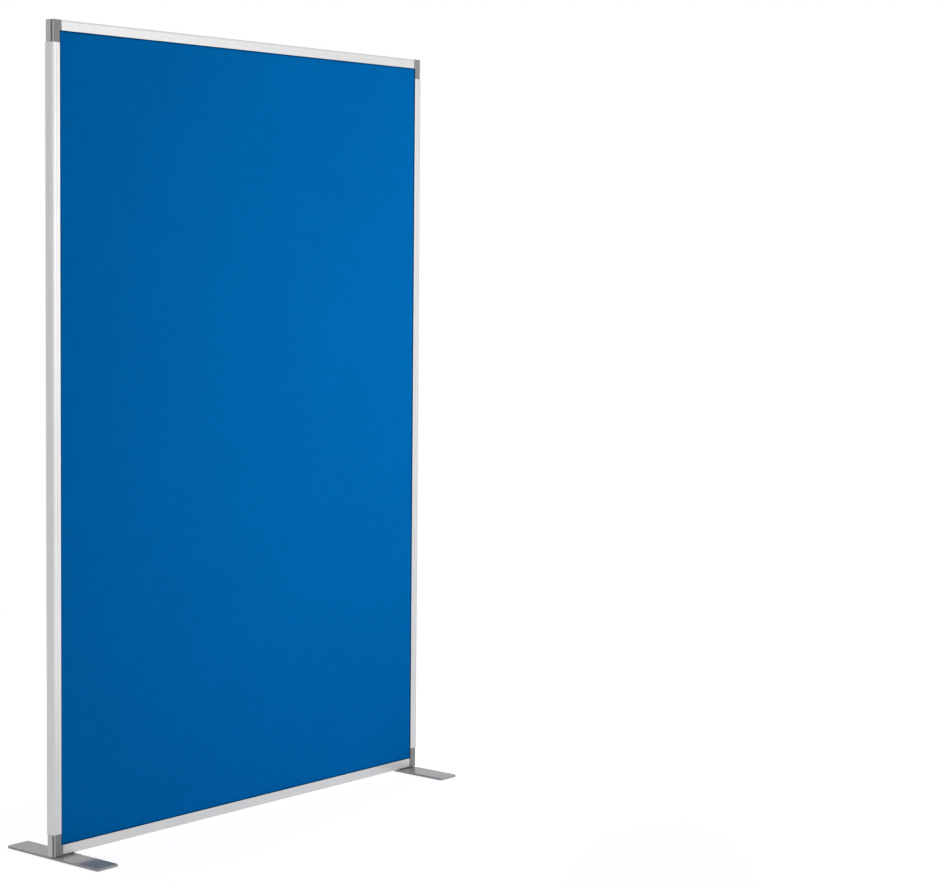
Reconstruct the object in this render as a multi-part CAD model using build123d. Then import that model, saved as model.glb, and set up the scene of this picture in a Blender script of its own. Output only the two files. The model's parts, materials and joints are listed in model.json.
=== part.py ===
from build123d import *
import os

# Free-standing acoustic divider screen: an aluminium frame of four lengths of one
# extrusion, joined by plugged corner connectors with clipped covers, around a
# fabric-faced sound-absorbing panel, on two flat steel foot plates.
# Millimetres. X runs along the width, the front faces -Y, Z is up, and the
# origin is on the floor under the middle of the screen.

# Overall frame, measured over the extrusions
frame_width = 1200
frame_height = 1800

# Layers of the panel, from the middle outwards
core_thickness = 11
foam_thickness = 4
fabric_thickness = 0.8

# Extrusion
profile_face = 22.5
profile_wall = 1.4
profile_edge_radius = 3.5
lip_edge_radius = 0.5
channel_depth = 8
groove_width = 0.9
groove_depth = 0.45
outer_groove_place = 4.6
inner_groove_place = 13.2
panel_face_clearance = 0.3
panel_edge_clearance = 0.5
butt_gap = 0.2

# Corner connector and its covers
corner_height = 48
corner_reach = 27
corner_radius = 2.5
cover_depth = 4.6
cover_set_in = 4
cover_edge = 0.7
rim_width = 0.8
shadow_slot_depth = 4
peg_radius = 1.5
peg_length = 5
peg_clearance = 0.1
peg_edge_place = 9
peg_end_place = 10
spigot_length = 44
spigot_clearance = 0.2
spigot_lead_in = 1.5

# Countersunk tapping screws that hold the spigots, in the rear face
tapping_screw_radius = 1.75
tapping_screw_length = 13
tapping_head_radius = 3.4
tapping_head_height = 1.9
tapping_screw_from_end = 20
cross_slot_width = 0.8
cross_slot_length = 4
cross_slot_depth = 1

# Feet
plate_length = 300
plate_width = 60
plate_thickness = 5
plate_inset = 4
plate_corner_radius = 6
plate_edge = 0.7
spacer_thickness = 2
spacer_depth = 18
spacer_margin = 3
spacer_corner_radius = 2
pad_thickness = 1
pad_length = 42
pad_margin = 6
pad_corner_radius = 4
foot_screw_spacing = 32
foot_screw_radius = 3
foot_head_radius = 6
foot_head_height = 3.3
hex_socket_across = 4
hex_socket_depth = 2.4
insert_radius = 4
insert_length = 10
insert_collar_radius = 4.6
insert_collar_height = 0.8

# Fits and cuts
thread_clearance = 0.05
hole_clearance = 0.3
cut_overrun = 1

# Worked out from the sizes above
panel_thickness = core_thickness + 2 * (foam_thickness + fabric_thickness)
channel_width = panel_thickness + 2 * panel_face_clearance
profile_depth = channel_width + 2 * profile_wall
channel_floor = profile_face - channel_depth
chamber_width = channel_floor - 2 * profile_wall
chamber_depth = profile_depth - 2 * profile_wall
chamber_radius = profile_edge_radius - profile_wall
body_depth = profile_depth - 2 * cover_depth
frame_bottom = pad_thickness + plate_thickness + spacer_thickness
foot_screw_length = plate_thickness + spacer_thickness + insert_length
frame_middle = frame_bottom + frame_height / 2
plate_middle = plate_inset + plate_width / 2
foot_screw_places = (plate_middle - foot_screw_spacing / 2, plate_middle + foot_screw_spacing / 2)
panel_width = frame_width - 2 * (channel_floor + panel_edge_clearance)
panel_height = frame_height - 2 * (channel_floor + panel_edge_clearance)
tapping_screw_place = (outer_groove_place + inner_groove_place) / 2

LOW = (Align.CENTER, Align.CENTER, Align.MIN)
CORNERS = {
    "bottom_left": (-1, -1),
    "bottom_right": (1, -1),
    "top_left": (-1, 1),
    "top_right": (1, 1),
}


def span_box(x_span, y_span, z_span):
    """Box between low and high values along each axis."""
    spans = (x_span, y_span, z_span)
    size = [high - low for low, high in spans]
    middle = [(high + low) / 2 for low, high in spans]
    return Pos(*middle) * Box(*size)


def at_corner(piece, side, level):
    """Takes a piece made at the bottom left corner to another corner of the frame.

    The piece is made with X along the rail and Z along the stile, from the frame's outer corner.
    """
    placed = Pos(-frame_width / 2, 0, frame_bottom) * piece
    if side > 0:
        placed = mirror(placed, about=Plane.YZ)
    if level > 0:
        placed = mirror(placed, about=Plane.XY.offset(frame_middle))
    return placed


def profile_section():
    """Extrusion: X from the outer side to the panel, Y through the depth."""
    outside = Rectangle(profile_face, profile_depth, align=(Align.MIN, Align.CENTER))
    by_x = outside.vertices().group_by(Axis.X)
    outside = fillet(by_x[0], profile_edge_radius)
    outside = fillet(outside.vertices().group_by(Axis.X)[-1], lip_edge_radius)
    chamber = Pos(profile_wall, 0) * Rectangle(chamber_width, chamber_depth, align=(Align.MIN, Align.CENTER))
    chamber = fillet(chamber.vertices().group_by(Axis.X)[0], chamber_radius)
    channel_run = channel_depth + cut_overrun
    channel = Pos(channel_floor, 0) * Rectangle(channel_run, channel_width, align=(Align.MIN, Align.CENTER))
    section = outside - chamber - channel
    for place in (outer_groove_place, inner_groove_place):
        for side in (-1, 1):
            section -= Pos(place, side * profile_depth / 2) * Rectangle(groove_width, 2 * groove_depth)
    return section


def tapping_screw_space(extra):
    """Countersunk screw form along -Y, its head's top at Y zero; extra widens it for a hole."""
    head_radius = tapping_head_radius + extra
    shank_radius = tapping_screw_radius + extra
    head = Rot(X=-90) * Cone(
        shank_radius, head_radius, tapping_head_height, align=(Align.CENTER, Align.CENTER, Align.MAX)
    )
    shank = Rot(X=90) * Cylinder(shank_radius, tapping_screw_length, align=LOW)
    return head + shank


def tapping_screw():
    """Countersunk tapping screw with a cross recess, head up along +Y."""
    screw = tapping_screw_space(0)
    recess_floor = -cross_slot_depth
    across = (-cross_slot_width / 2, cross_slot_width / 2)
    along = (-cross_slot_length / 2, cross_slot_length / 2)
    screw -= span_box(across, (recess_floor, cut_overrun), along)
    screw -= span_box(along, (recess_floor, cut_overrun), across)
    return screw


def tapping_screw_spots():
    """Places of the tapping screws at each corner: in the stile everywhere, in the rail at the top."""
    rear = profile_depth / 2
    in_stile = (tapping_screw_place, rear, corner_height + tapping_screw_from_end)
    in_rail = (corner_reach + tapping_screw_from_end, rear, tapping_screw_place)
    return {"bottom": (in_stile,), "top": (in_stile, in_rail)}


def stile(side):
    """Upright extrusion, with its countersunk holes in the rear face."""
    length = frame_height - 2 * (corner_height + butt_gap)
    base = Plane(origin=(0, 0, corner_height + butt_gap), x_dir=(1, 0, 0), z_dir=(0, 0, 1))
    bar = extrude(base * profile_section(), length)
    low = tapping_screw_spots()["bottom"][0]
    for z in (low[2], frame_height - low[2]):
        bar -= Pos(low[0], low[1], z) * tapping_screw_space(hole_clearance)
    return at_corner(bar, side, -1)


def rail(level):
    """Level extrusion; the bottom one is drilled for the inner foot screws."""
    start = corner_reach + butt_gap
    length = frame_width - 2 * start
    base = Plane(origin=(start, 0, 0), x_dir=(0, 0, 1), z_dir=(1, 0, 0))
    bar = extrude(base * profile_section(), length)
    if level > 0:
        low = tapping_screw_spots()["top"][1]
        for x in (low[0], frame_width - low[0]):
            bar -= Pos(x, low[1], low[2]) * tapping_screw_space(hole_clearance)
    else:
        hole = Cylinder(insert_collar_radius + hole_clearance, 2 * (profile_wall + cut_overrun))
        for x in (foot_screw_places[1], frame_width - foot_screw_places[1]):
            bar -= Pos(x, 0, 0) * hole
    return at_corner(bar, -1, level)


def corner_outline(inner_u, inner_z, start_u):
    """L outline in X and Z: the arm along the stile is inner_u wide, the arm along the rail inner_z high."""
    upright = Pos(start_u, 0) * Rectangle(inner_u - start_u, corner_height, align=(Align.MIN, Align.MIN))
    level = Pos(start_u, 0) * Rectangle(corner_reach - start_u, inner_z, align=(Align.MIN, Align.MIN))
    return upright + level


def upright_sketch(sketch, y_low, y_high):
    """Extrudes a sketch drawn in X and Z from one depth to another."""
    face = Plane(origin=(0, y_high, 0), x_dir=(1, 0, 0), z_dir=(0, -1, 0))
    return extrude(face * sketch, y_high - y_low)


def spigot():
    """Plug that fills the extrusion's chamber, along +Z from zero, with a lead-in at its end."""
    width = chamber_width - 2 * spigot_clearance
    depth = chamber_depth - 2 * spigot_clearance
    section = Pos(profile_wall + spigot_clearance, 0) * Rectangle(
        width, depth, align=(Align.MIN, Align.CENTER)
    )
    section = fillet(section.vertices(), chamber_radius - spigot_clearance)
    plug = extrude(section, spigot_length)
    return chamfer(plug.faces().sort_by(Axis.Z)[-1].edges(), spigot_lead_in)


def peg_places():
    """Places of the cover's two pegs in X and Z."""
    return ((peg_edge_place, peg_end_place), (peg_edge_place, corner_height - peg_end_place))


def connector(level):
    """Corner connector: an L block with two spigots, shadow slots beside the covers and peg holes."""
    half = body_depth / 2
    outline = corner_outline(channel_floor, channel_floor, 0)
    block = upright_sketch(outline, -half, half)
    outer_edge = block.edges().filter_by(Axis.Y).sort_by(lambda edge: edge.center().X + edge.center().Z)[0]
    block = fillet(outer_edge, corner_radius)
    for side in (-1, 1):
        slot_span = sorted((side * (half - shadow_slot_depth), side * (half + cut_overrun)))
        slot_height = (-cut_overrun, corner_height + cut_overrun)
        block -= span_box((rim_width, cover_set_in), slot_span, slot_height)
    block += Pos(0, 0, corner_height) * spigot()
    along_rail = Plane(origin=(corner_reach, 0, 0), x_dir=(0, 0, 1), z_dir=(1, 0, 0))
    block += along_rail.location * spigot()
    for side in (-1, 1):
        hole = Cylinder(peg_radius + peg_clearance, peg_length + peg_clearance, align=LOW)
        turned = Rot(X=-90 * side) * hole
        for x, z in peg_places():
            block -= Pos(x, side * (half - peg_length - peg_clearance), z) * turned
    spots = tapping_screw_spots()["top" if level > 0 else "bottom"]
    for spot in spots:
        block -= Pos(*spot) * tapping_screw_space(thread_clearance)
    if level < 0:
        for x, z in zip(foot_screw_places, insert_bottoms()):
            block -= Pos(x, 0, z) * insert_space(thread_clearance)
    return block


def insert_bottoms():
    """Heights of the two inserts' lower ends: on the block's underside and on the spigot's."""
    return (0, profile_wall + spigot_clearance)


def insert_space(extra):
    """Collared insert form from Z zero upwards, widened by extra; its hole runs out below the collar."""
    barrel = Cylinder(insert_radius + extra, insert_length + extra, align=LOW)
    collar = Cylinder(insert_collar_radius + extra, insert_collar_height + extra, align=LOW)
    return barrel + collar


def thread_insert():
    """Brass insert with a plain bore at the thread's size."""
    bore = Cylinder(foot_screw_radius, 2 * (insert_length + cut_overrun))
    return insert_space(0) - bore


def cover():
    """Clipped corner cover for the front: thick over the connector, thin over the panel's channel."""
    front = -profile_depth / 2
    skin = upright_sketch(
        corner_outline(profile_face, profile_face, cover_set_in), front, front + profile_wall
    )
    pad = upright_sketch(
        corner_outline(channel_floor, channel_floor, cover_set_in), front, front + cover_depth
    )
    plate = skin + pad
    plate = chamfer(plate.faces().sort_by(Axis.Y)[0].edges(), cover_edge)
    peg = Rot(X=-90) * Cylinder(peg_radius, peg_length, align=LOW)
    for x, z in peg_places():
        plate += Pos(x, front + cover_depth, z) * peg
    return plate


def foot_plate():
    """Flat steel bar under one end of the frame, countersunk from below, at the left corner's place."""
    plate = Box(plate_width, plate_length, plate_thickness, align=LOW)
    plate = fillet(plate.edges().filter_by(Axis.Z), plate_corner_radius)
    plate = chamfer(plate.faces().sort_by(Axis.Z)[-1].edges(), plate_edge)
    for side in (-1, 1):
        shank = Cylinder(foot_screw_radius + hole_clearance, plate_thickness, align=LOW)
        head = Cone(
            foot_head_radius + hole_clearance,
            foot_screw_radius + hole_clearance,
            foot_head_height,
            align=LOW,
        )
        plate -= Pos(side * foot_screw_spacing / 2, 0, 0) * (shank + head)
    return Pos(plate_middle, 0, -spacer_thickness - plate_thickness) * plate


def foot_screws():
    """Two countersunk socket screws, heads flush with the plate's underside."""
    screws = []
    socket = extrude(
        RegularPolygon(hex_socket_across / 2, 6, major_radius=False), hex_socket_depth
    )
    for x in foot_screw_places:
        head = Cone(foot_head_radius, foot_screw_radius, foot_head_height, align=LOW)
        shank = Cylinder(foot_screw_radius - thread_clearance, foot_screw_length, align=LOW)
        screw = head + shank - socket
        screws.append(Pos(x, 0, -spacer_thickness - plate_thickness) * screw)
    return screws


def foot_spacer():
    """Packing strip between the frame's underside and the foot plate."""
    strip = Box(plate_width - 2 * spacer_margin, spacer_depth, spacer_thickness, align=LOW)
    strip = fillet(strip.edges().filter_by(Axis.Z), spacer_corner_radius)
    for side in (-1, 1):
        hole = Cylinder(foot_screw_radius + hole_clearance, spacer_thickness, align=LOW)
        strip -= Pos(side * foot_screw_spacing / 2, 0, 0) * hole
    return Pos(plate_middle, 0, -spacer_thickness) * strip


def foot_pads():
    """Two thin non-slip pads under the ends of one foot plate."""
    pad = Box(plate_width - 2 * pad_margin, pad_length, pad_thickness, align=LOW)
    pad = fillet(pad.edges().filter_by(Axis.Z), pad_corner_radius)
    reach = (plate_length - pad_length) / 2 - pad_margin
    return [Pos(plate_middle, side * reach, -frame_bottom) * pad for side in (-1, 1)]


def fabric(side):
    """Stretched cover of one face, turned over the panel's edges nearly to its middle."""
    half = panel_thickness / 2
    x_span = (-panel_width / 2, panel_width / 2)
    z_span = (frame_middle - panel_height / 2, frame_middle + panel_height / 2)
    face_span = sorted((side * half, side * panel_face_clearance))
    sheet = span_box(x_span, face_span, z_span)
    inner_x = (x_span[0] + fabric_thickness, x_span[1] - fabric_thickness)
    inner_z = (z_span[0] + fabric_thickness, z_span[1] - fabric_thickness)
    inner_y = sorted((side * (half - fabric_thickness), 0))
    return sheet - span_box(inner_x, inner_y, inner_z)


def layer(y_low, y_high):
    """Flat layer inside the turned fabric."""
    reach = panel_width / 2 - fabric_thickness
    rise = panel_height / 2 - fabric_thickness
    return span_box((-reach, reach), (y_low, y_high), (frame_middle - rise, frame_middle + rise))


def write(name, solids):
    """Writes one node's STEP file from one solid or a list of separate ones."""
    shapes = solids if isinstance(solids, list) else [solids]
    pieces = [solid for shape in shapes for solid in shape.solids()]
    shape = pieces[0] if len(pieces) == 1 else Compound(children=pieces)
    export_step(shape, f"parts/{name}.step")


def build_frame():
    """Extrusions, connectors, covers and their screws."""
    write("left_stile", stile(-1))
    write("right_stile", stile(1))
    write("bottom_rail", rail(-1))
    write("top_rail", rail(1))
    front_cover = cover()
    rear_cover = mirror(front_cover, about=Plane.XZ)
    screws = []
    for name, (side, level) in CORNERS.items():
        write(f"corner_connector_{name}", at_corner(connector(level), side, level))
        write(f"corner_cover_front_{name}", at_corner(front_cover, side, level))
        write(f"corner_cover_rear_{name}", at_corner(rear_cover, side, level))
        for spot in tapping_screw_spots()["top" if level > 0 else "bottom"]:
            screws.append(at_corner(Pos(*spot) * tapping_screw(), side, level))
    write("frame_screws", screws)


def build_panel():
    """Core board, foam layers and the two fabric faces."""
    half_core = core_thickness / 2
    face = half_core + foam_thickness
    write("acoustic_core", layer(-half_core, half_core))
    write("front_foam", layer(-face, -half_core))
    write("rear_foam", layer(half_core, face))
    write("front_fabric", fabric(-1))
    write("rear_fabric", fabric(1))


def build_feet():
    """Foot plates with their inserts, screws, packing strips and pads."""
    inserts = []
    for name, side in (("left", -1), ("right", 1)):
        write(f"foot_plate_{name}", at_corner(foot_plate(), side, -1))
        write(f"foot_spacer_{name}", at_corner(foot_spacer(), side, -1))
        write(f"foot_screws_{name}", [at_corner(screw, side, -1) for screw in foot_screws()])
        write(f"foot_pads_{name}", [at_corner(pad, side, -1) for pad in foot_pads()])
        for x, z in zip(foot_screw_places, insert_bottoms()):
            inserts.append(at_corner(Pos(x, 0, z) * thread_insert(), side, -1))
    write("thread_inserts", inserts)


os.makedirs("parts", exist_ok=True)
build_frame()
build_panel()
build_feet()
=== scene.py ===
"""Looks of a free-standing acoustic divider screen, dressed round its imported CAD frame."""

import json
import logging
import math
from dataclasses import dataclass, field, replace
from enum import Enum

import bmesh
import bpy
from mathutils import Matrix, Vector, noise

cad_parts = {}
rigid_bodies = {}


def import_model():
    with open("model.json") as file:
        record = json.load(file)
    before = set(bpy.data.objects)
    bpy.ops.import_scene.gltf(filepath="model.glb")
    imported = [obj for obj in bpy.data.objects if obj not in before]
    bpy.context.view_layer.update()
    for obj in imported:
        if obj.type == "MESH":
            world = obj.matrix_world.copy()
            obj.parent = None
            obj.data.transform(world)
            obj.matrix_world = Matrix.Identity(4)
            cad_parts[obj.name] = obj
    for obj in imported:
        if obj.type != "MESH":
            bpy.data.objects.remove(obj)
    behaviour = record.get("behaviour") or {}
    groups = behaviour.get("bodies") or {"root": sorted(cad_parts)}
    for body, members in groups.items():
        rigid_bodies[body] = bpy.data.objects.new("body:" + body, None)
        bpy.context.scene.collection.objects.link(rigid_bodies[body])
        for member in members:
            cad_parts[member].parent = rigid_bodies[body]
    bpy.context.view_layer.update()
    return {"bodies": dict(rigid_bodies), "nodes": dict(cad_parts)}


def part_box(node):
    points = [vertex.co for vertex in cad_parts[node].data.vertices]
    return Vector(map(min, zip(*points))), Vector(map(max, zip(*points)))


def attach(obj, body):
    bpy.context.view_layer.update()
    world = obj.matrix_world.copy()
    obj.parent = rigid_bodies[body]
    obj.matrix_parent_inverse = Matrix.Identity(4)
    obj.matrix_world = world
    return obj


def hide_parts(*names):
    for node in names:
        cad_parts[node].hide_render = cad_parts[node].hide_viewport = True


LOG = logging.getLogger("divider_screen")
FLAT_MAP = "flat"
MM = 0.001
SAME_PLACE = 0.01 * MM
DRAWN_OUT = 0.004
ORIGIN = (0.0, 0.0, 0.0)
WHITE = (1.0, 1.0, 1.0, 1.0)

Colour = tuple[float, float, float]
Point = tuple[float, float, float]
Pair = tuple[float, float]
Socket = bpy.types.NodeSocket
FlatPlace = list[bmesh.types.BMLayerItem]


class Along(Enum):
    """Way that the lines of a finish run, as the pattern's stretch along X, Y and Z."""

    WIDTH = (DRAWN_OUT, 1.0, 1.0)
    DEPTH = (1.0, DRAWN_OUT, 1.0)
    HEIGHT = (1.0, 1.0, DRAWN_OUT)


class Facing(Enum):
    """Side of the panel, as the sign of Y."""

    FRONT = -1
    REAR = 1


class Graph:
    """Adds and links the nodes of one material, world or node group."""

    def __init__(self, tree: bpy.types.NodeTree) -> None:
        """Keeps the tree that the nodes go into."""
        self.tree = tree

    def feed(self, socket: Socket, value: object) -> None:
        """Feeds a socket.

        Args:
            socket: The input.
            value: The socket to link to it, or its plain value.
        """
        if isinstance(value, Socket):
            self.tree.links.new(value, socket)
        else:
            socket.default_value = value

    def add(self, kind: str, inputs: dict | None = None, **settings: object) -> bpy.types.Node:
        """Adds a node.

        Args:
            kind: Blender's name of the node type.
            inputs: Values or sockets for the node's inputs, by name or number.
            settings: Properties of the node.

        Returns:
            The new node.
        """
        node = self.tree.nodes.new(kind)
        for name, value in settings.items():
            setattr(node, name, value)
        for name, value in (inputs or {}).items():
            self.feed(node.inputs[name], value)
        return node

    def math(self, operation: str, *values: object) -> Socket:
        """Adds a Math node on numbers or sockets and returns its result."""
        return self.add("ShaderNodeMath", dict(enumerate(values)), operation=operation).outputs[0]

    def vector(self, operation: str, *values: object) -> Socket:
        """Adds a Vector Math node on vectors or sockets and returns its vector result."""
        return self.add("ShaderNodeVectorMath", dict(enumerate(values)), operation=operation).outputs[0]

    def scaled(self, vector: object, factor: object) -> Socket:
        """Multiplies a colour or vector by a number and returns the result."""
        inputs = {0: vector, "Scale": factor}
        return self.add("ShaderNodeVectorMath", inputs, operation="SCALE").outputs[0]

    def split(self, vector: Socket) -> bpy.types.NodeOutputs:
        """Takes a vector apart and returns its X, Y and Z."""
        return self.add("ShaderNodeSeparateXYZ", {0: vector}).outputs

    def noise(self, place: object, scale: object, detail: float) -> Socket:
        """Adds a noise pattern and returns its value, about 0.5 on average."""
        inputs = {"Vector": place, "Scale": scale, "Detail": detail}
        return self.add("ShaderNodeTexNoise", inputs).outputs[0]

    def ease(self, value: object, low: object, high: object) -> Socket:
        """Adds a smooth step from 0 at low to 1 at high and returns its result."""
        inputs = {"Value": value, "From Min": low, "From Max": high}
        return self.add("ShaderNodeMapRange", inputs, interpolation_type="SMOOTHSTEP").outputs[0]

    def spread(self, value: object, middle: float, reach: float) -> Socket:
        """Takes a pattern of 0 to 1 to between middle less reach and middle plus reach."""
        return self.math("MULTIPLY_ADD", value, 2 * reach, middle - reach)

    def mixed(self, share: object, base: object, top: object) -> Socket:
        """Mixes two colours.

        Args:
            share: How much of the second colour there is, from 0 to 1.
            base: The first colour.
            top: The second colour.

        Returns:
            The mixed colour.
        """
        node = self.add("ShaderNodeMix", data_type="RGBA")
        self.feed(node.inputs[0], share)
        for socket, colour in ((node.inputs[6], base), (node.inputs[7], top)):
            self.feed(socket, colour if isinstance(colour, Socket) else (*colour, 1.0))
        return node.outputs[2]

    def bump(self, height: object, distance: float, strength: float) -> Socket:
        """Adds a Bump node for a height pattern and returns its normal."""
        inputs = {"Height": height, "Distance": distance, "Strength": strength}
        return self.add("ShaderNodeBump", inputs).outputs[0]


class Pattern:
    """One shared shader node group, with its sockets and the graph inside it."""

    def __init__(self, name: str, inputs: dict[str, object], outputs: tuple[str, ...]) -> None:
        """Makes the group.

        Args:
            name: Name of the group.
            inputs: Default of each input: a number, or three for a vector.
            outputs: Names of the outputs, which are numbers.
        """
        self.tree = bpy.data.node_groups.new(name, "ShaderNodeTree")
        for socket_name, value in inputs.items():
            kind = "NodeSocketVector" if isinstance(value, tuple) else "NodeSocketFloat"
            socket = self.tree.interface.new_socket(socket_name, in_out="INPUT", socket_type=kind)
            socket.default_value = value
        for socket_name in outputs:
            self.tree.interface.new_socket(socket_name, in_out="OUTPUT", socket_type="NodeSocketFloat")
        self.graph = Graph(self.tree)
        self.given = self.graph.add("NodeGroupInput").outputs
        self.result = self.graph.add("NodeGroupOutput").inputs

    def put_out(self, **results: Socket) -> "Pattern":
        """Feeds the group's outputs.

        Args:
            results: Sockets by the outputs' names.

        Returns:
            The pattern itself.
        """
        for name, value in results.items():
            self.graph.feed(self.result[name], value)
        return self

    def depth_in_box(self) -> bpy.types.NodeOutputs:
        """Adds how deep a place lies in the group's box, which is folded about its middle.

        Returns:
            The depths along X, Y and Z, negative outside the box.
        """
        graph, given = self.graph, self.given
        folded = graph.vector("ABSOLUTE", graph.vector("SUBTRACT", given["Place"], given["Middle"]))
        offset = graph.vector("ABSOLUTE", graph.vector("SUBTRACT", folded, given["Centre"]))
        return graph.split(graph.vector("SUBTRACT", given["Half"], offset))

    def place_in(self, graph: Graph, **inputs: object) -> bpy.types.NodeOutputs:
        """Puts the group into a material, its inputs named in small letters, and returns its outputs."""
        named = {name.capitalize(): value for name, value in inputs.items()}
        return graph.add("ShaderNodeGroup", named, node_tree=self.tree).outputs


class Patterns:
    """The shared patterns that the finishes are made of, each built once; scales are per metre."""

    WANDER_SCALE = 90.0
    WANDER_REACH = 1.1 * MM
    CROWN = (0.7, 0.3)
    BROAD_SHARE = 0.14
    SLUB_THICK = (0.6, 0.78)
    SLUB_SLACK = (0.38, 0.22)
    SLACK_GAIN = -0.6
    HAND_SCALE = 5.0
    FINGER_SCALE = 60.0
    RAG_SCALE = 160.0
    RECESS_FADE = (-0.3 * MM, 0.2 * MM)
    DUST_SLOPE = (0.6, 0.98)
    DUST_SCALE = 700.0
    DUST_SPECKS = (0.45, 0.75)
    BOX_INPUTS = {"Place": ORIGIN, "Middle": ORIGIN, "Centre": ORIGIN, "Half": (1.0, 1.0, 1.0)}

    def __init__(self) -> None:
        """Builds every pattern."""
        self.weave = self.build_weave()
        self.streaks = self.build_streaks()
        self.slubs = self.build_slubs()
        self.grain = self.build_grain()
        self.mottle = self.build_mottle()
        self.edge_wear_and_shade = self.build_edge_wear_and_shade()
        self.recess = self.build_recess()
        self.dust = self.build_dust()

    def build_weave(self) -> Pattern:
        """Plain weave on X and Y in metres, one thread over one under, a little uneven.

        Returns:
            The pattern: the threads' height, and 1 where an upright thread lies over.
        """
        pattern = Pattern("weave", {"Place": ORIGIN, "Pitch": 0.001}, ("Height", "Over"))
        graph = pattern.graph
        place, pitch = pattern.given["Place"], pattern.given["Pitch"]
        inputs = {"Vector": place, "Scale": self.WANDER_SCALE, "Detail": 1.0}
        wander = graph.add("ShaderNodeTexNoise", inputs).outputs[1]
        shift = graph.scaled(graph.vector("SUBTRACT", wander, (0.5, 0.5, 0.5)), self.WANDER_REACH)
        parts = graph.split(graph.vector("ADD", place, shift))
        counts = [graph.math("DIVIDE", parts[axis], pitch) for axis in (0, 1)]
        cells = [graph.math("FLOOR", count) for count in counts]
        turns = [graph.math("MULTIPLY", count, math.pi) for count in counts]
        crowns = [graph.math("ABSOLUTE", graph.math("SINE", turn)) for turn in turns]
        over = graph.math("PINGPONG", graph.math("ADD", *cells), 1.0)
        warp = graph.math("MULTIPLY", crowns[0], graph.spread(crowns[1], *self.CROWN))
        weft = graph.math("MULTIPLY", crowns[1], graph.spread(crowns[0], *self.CROWN))
        under = graph.math("SUBTRACT", 1.0, over)
        height = graph.math("ADD", graph.math("MULTIPLY", warp, over), graph.math("MULTIPLY", weft, under))
        return pattern.put_out(Height=height, Over=over)

    def build_streaks(self) -> Pattern:
        """Lines that run one way, for drawn and brushed metal.

        Returns:
            The pattern: fine and broad lines.
        """
        inputs = {"Place": ORIGIN, "Stretch": (1.0, 1.0, 1.0), "Scale": 2500.0}
        pattern = Pattern("streaks", inputs, ("Fine", "Broad"))
        graph, scale = pattern.graph, pattern.given["Scale"]
        drawn = graph.vector("MULTIPLY", pattern.given["Place"], pattern.given["Stretch"])
        fine = graph.noise(drawn, scale, detail=3.0)
        broad = graph.noise(drawn, graph.math("MULTIPLY", scale, self.BROAD_SHARE), detail=2.0)
        return pattern.put_out(Fine=fine, Broad=broad)

    def build_slubs(self) -> Pattern:
        """Scattered thicker and slacker lengths of thread, along Y and X, on X and Y in metres.

        Returns:
            The pattern: 1 in the thickest upright and level threads, less than 0 in slack ones.
        """
        inputs = {"Place": ORIGIN, "Length": 0.045, "Width": 0.003}
        pattern = Pattern("slubs", inputs, ("Upright", "Level"))
        graph = pattern.graph
        long, thin = (graph.math("DIVIDE", 1.0, pattern.given[name]) for name in ("Length", "Width"))
        slubs = {}
        for name, scales in (("Upright", (thin, long)), ("Level", (long, thin))):
            stretch = graph.add("ShaderNodeCombineXYZ", {0: scales[0], 1: scales[1], 2: 1.0}).outputs[0]
            value = graph.noise(graph.vector("MULTIPLY", pattern.given["Place"], stretch), 1.0, detail=1.0)
            thick, slack = graph.ease(value, *self.SLUB_THICK), graph.ease(value, *self.SLUB_SLACK)
            slubs[name] = graph.math("MULTIPLY_ADD", slack, self.SLACK_GAIN, thick)
        return pattern.put_out(**slubs)

    def build_grain(self) -> Pattern:
        """Fine even grain of moulded or coated surfaces.

        Returns:
            The pattern: the grain's height.
        """
        pattern = Pattern("grain", {"Place": ORIGIN, "Size": 0.0005}, ("Height",))
        scale = pattern.graph.math("DIVIDE", 1.0, pattern.given["Size"])
        return pattern.put_out(Height=pattern.graph.noise(pattern.given["Place"], scale, detail=2.0))

    def build_mottle(self) -> Pattern:
        """Slow unevenness.

        Returns:
            The pattern: unevenness over a hand's width and over a finger's width.
        """
        pattern = Pattern("mottle", {"Place": ORIGIN}, ("Broad", "Close"))
        broad = pattern.graph.noise(pattern.given["Place"], self.HAND_SCALE, detail=3.0)
        close = pattern.graph.noise(pattern.given["Place"], self.FINGER_SCALE, detail=3.0)
        return pattern.put_out(Broad=broad, Close=close)

    def build_edge_wear_and_shade(self) -> Pattern:
        """Ragged band along the edges of a box, the same on both sides of the screen's middle: edge wear on
        metal and plastic, painted shade on the cloth's rim.

        Returns:
            The pattern: the band's mask.
        """
        pattern = Pattern("edge_wear_and_shade", self.BOX_INPUTS | {"Band": 0.001}, ("Mask",))
        graph, near = pattern.graph, pattern.depth_in_box()
        low = graph.math("MINIMUM", near[0], near[1])
        high = graph.math("MAXIMUM", near[0], near[1])
        second = graph.math("MAXIMUM", low, graph.math("MINIMUM", high, near[2]))
        ragged = graph.noise(pattern.given["Place"], self.RAG_SCALE, detail=4.0)
        limit = graph.math("MULTIPLY", pattern.given["Band"], graph.spread(ragged, 1.0, 1.0))
        return pattern.put_out(Mask=graph.math("SUBTRACT", 1.0, graph.ease(second, 0.0, limit)))

    def build_recess(self) -> Pattern:
        """Inside of a box, the same on both sides of a middle point, fading over half a millimetre.

        Returns:
            The pattern: the inside's mask.
        """
        pattern = Pattern("recess", self.BOX_INPUTS, ("Mask",))
        graph, near = pattern.graph, pattern.depth_in_box()
        least = graph.math("MINIMUM", graph.math("MINIMUM", near[0], near[1]), near[2])
        return pattern.put_out(Mask=graph.ease(least, *self.RECESS_FADE))

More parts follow.
